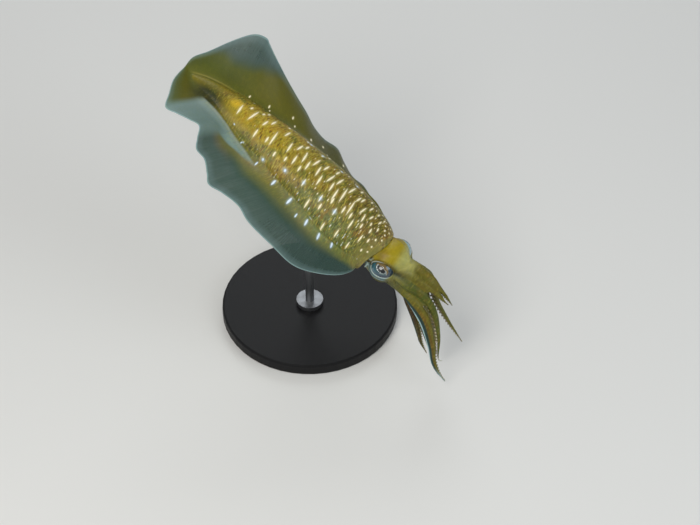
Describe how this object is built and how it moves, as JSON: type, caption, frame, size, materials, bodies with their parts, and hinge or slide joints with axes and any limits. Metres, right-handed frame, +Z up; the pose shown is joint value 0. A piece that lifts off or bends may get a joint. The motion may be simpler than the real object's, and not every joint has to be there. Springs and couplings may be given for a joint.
{
  "type": "bigfin reef squid",
  "caption": "Life-size bigfin reef squid held head down over a round base by a rod, with broad rippled fins along its whole mantle, large eyes and hanging arms with suckers.",
  "frame": {"origin": "centre of the base's underside, on the floor", "axes": "+X the way the squid heads, +Y to its left, +Z up"},
  "size_m": [0.2579, 0.144, 0.2215],
  "materials": {
    "mantle": "moist skin, golden olive with white bars",
    "fin": "moist, thin and partly clear skin",
    "head": "moist skin",
    "arm": "moist skin",
    "eye": "silvery and wet",
    "beak": "horny",
    "stand_base": "satin black",
    "stand_rod": "brushed"
  },
  "bodies": {
    "root": {"mantle": "mantle", "fin_left_rear": "fin", "fin_left_front": "fin", "fin_right_rear": "fin", "fin_right_front": "fin", "head": "head", "funnel": "head", "mouth": "head", "beak": "beak", "eye_left": "eye", "arm_left_1_root": "arm", "arm_left_1_tip": "arm", "arm_left_2_root": "arm", "arm_left_2_tip": "arm", "arm_left_3_root": "arm", "arm_left_3_tip": "arm", "arm_left_4_root": "arm", "arm_left_4_tip": "arm", "tentacle_left_stalk": "arm", "tentacle_left_club": "arm", "eye_right": "eye", "arm_right_1_root": "arm", "arm_right_1_tip": "arm", "arm_right_2_root": "arm", "arm_right_2_tip": "arm", "arm_right_3_root": "arm", "arm_right_3_tip": "arm", "arm_right_4_root": "arm", "arm_right_4_tip": "arm", "tentacle_right_stalk": "arm", "tentacle_right_club": "arm", "stand_base": "stand_base", "stand_rod": "stand_rod"}
  },
  "joints": []
}
